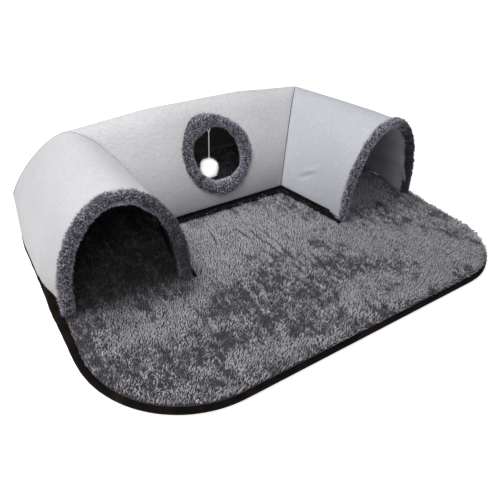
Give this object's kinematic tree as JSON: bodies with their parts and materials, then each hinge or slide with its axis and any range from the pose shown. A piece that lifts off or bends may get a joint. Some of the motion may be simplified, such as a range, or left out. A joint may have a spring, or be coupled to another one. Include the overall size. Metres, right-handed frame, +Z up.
{
  "type": "collapsible cat tunnel",
  "caption": "U-shaped padded cat tunnel in three mitred sections with a round window and a hanging ball, zipped to a plush mat.",
  "frame": {"origin": "on the floor, under the middle of the mat's plan outline", "axes": "+X along the back section of the tunnel, +Y from the mat's open front edge to the back, +Z up"},
  "size_m": [0.932, 0.777, 0.2571],
  "materials": {
    "suede": "light grey brushed suede cloth",
    "foam": "open-cell polyurethane foam sheet",
    "lining": "plain mid-grey woven lining",
    "mat_plush": "grey long-pile plush, brushed in streaks",
    "rim_plush": "grey plush roll",
    "binding": "near-black binding tape",
    "base_cloth": "black non-woven cloth",
    "zip": "black nylon coil zip on black tape",
    "zip_metal": "black-lacquered die casting",
    "string": "thin white twisted cord",
    "ball": "white plush pompom"
  },
  "bodies": {
    "mat": {"mat_base_cloth": "base_cloth", "mat_foam_pad": "foam", "mat_plush_top": "mat_plush", "mat_edge_binding": "binding", "zip_mat_row": "zip", "zip_mat_tape": "zip", "zip_left_stop": "zip_metal", "zip_right_stop": "zip_metal"},
    "tunnel": {"left_cover": "suede", "left_foam": "foam", "left_lining": "lining", "back_cover": "suede", "back_foam": "foam", "back_lining": "lining", "right_cover": "suede", "right_foam": "foam", "right_lining": "lining", "left_mouth_rim": "rim_plush", "right_mouth_rim": "rim_plush", "window_rim": "rim_plush", "zip_shell_row": "zip", "zip_shell_tape": "zip", "toy_hanging_loop": "string"},
    "zip_slider": {"zip_slider": "zip_metal"},
    "zip_pull": {"zip_pull": "zip_metal"},
    "toy_eye": {"toy_string_eye": "string"},
    "toy": {"toy_string": "string", "toy_ball": "ball"}
  },
  "joints": [
    {"name": "tunnel_lift", "type": "slide", "parent": "mat", "child": "tunnel", "axis": [0, 0, 1], "range_m": [0, 0.3]},
    {"name": "zip_travel", "type": "slide", "parent": "mat", "child": "zip_slider", "axis": [-0.2019, 0.9794, 0], "range_m": [0, 0.13]},
    {"name": "pull_tab_tilt", "type": "hinge", "parent": "zip_slider", "child": "zip_pull", "pos_m": [0.1963, -0.06174, 0.0342], "axis": [0.9794, 0.2019, 0], "range_deg": [0, 150]},
    {"name": "toy_swing_in_and_out", "type": "hinge", "parent": "tunnel", "child": "toy_eye", "pos_m": [0.004, 0.19136, 0.18736], "axis": [1, 0, 0], "range_deg": [-8, 45]},
    {"name": "toy_swing_sideways", "type": "hinge", "parent": "toy_eye", "child": "toy", "pos_m": [0.004, 0.19136, 0.18346], "axis": [0, 1, 0], "range_deg": [-35, 35]}
  ]
}
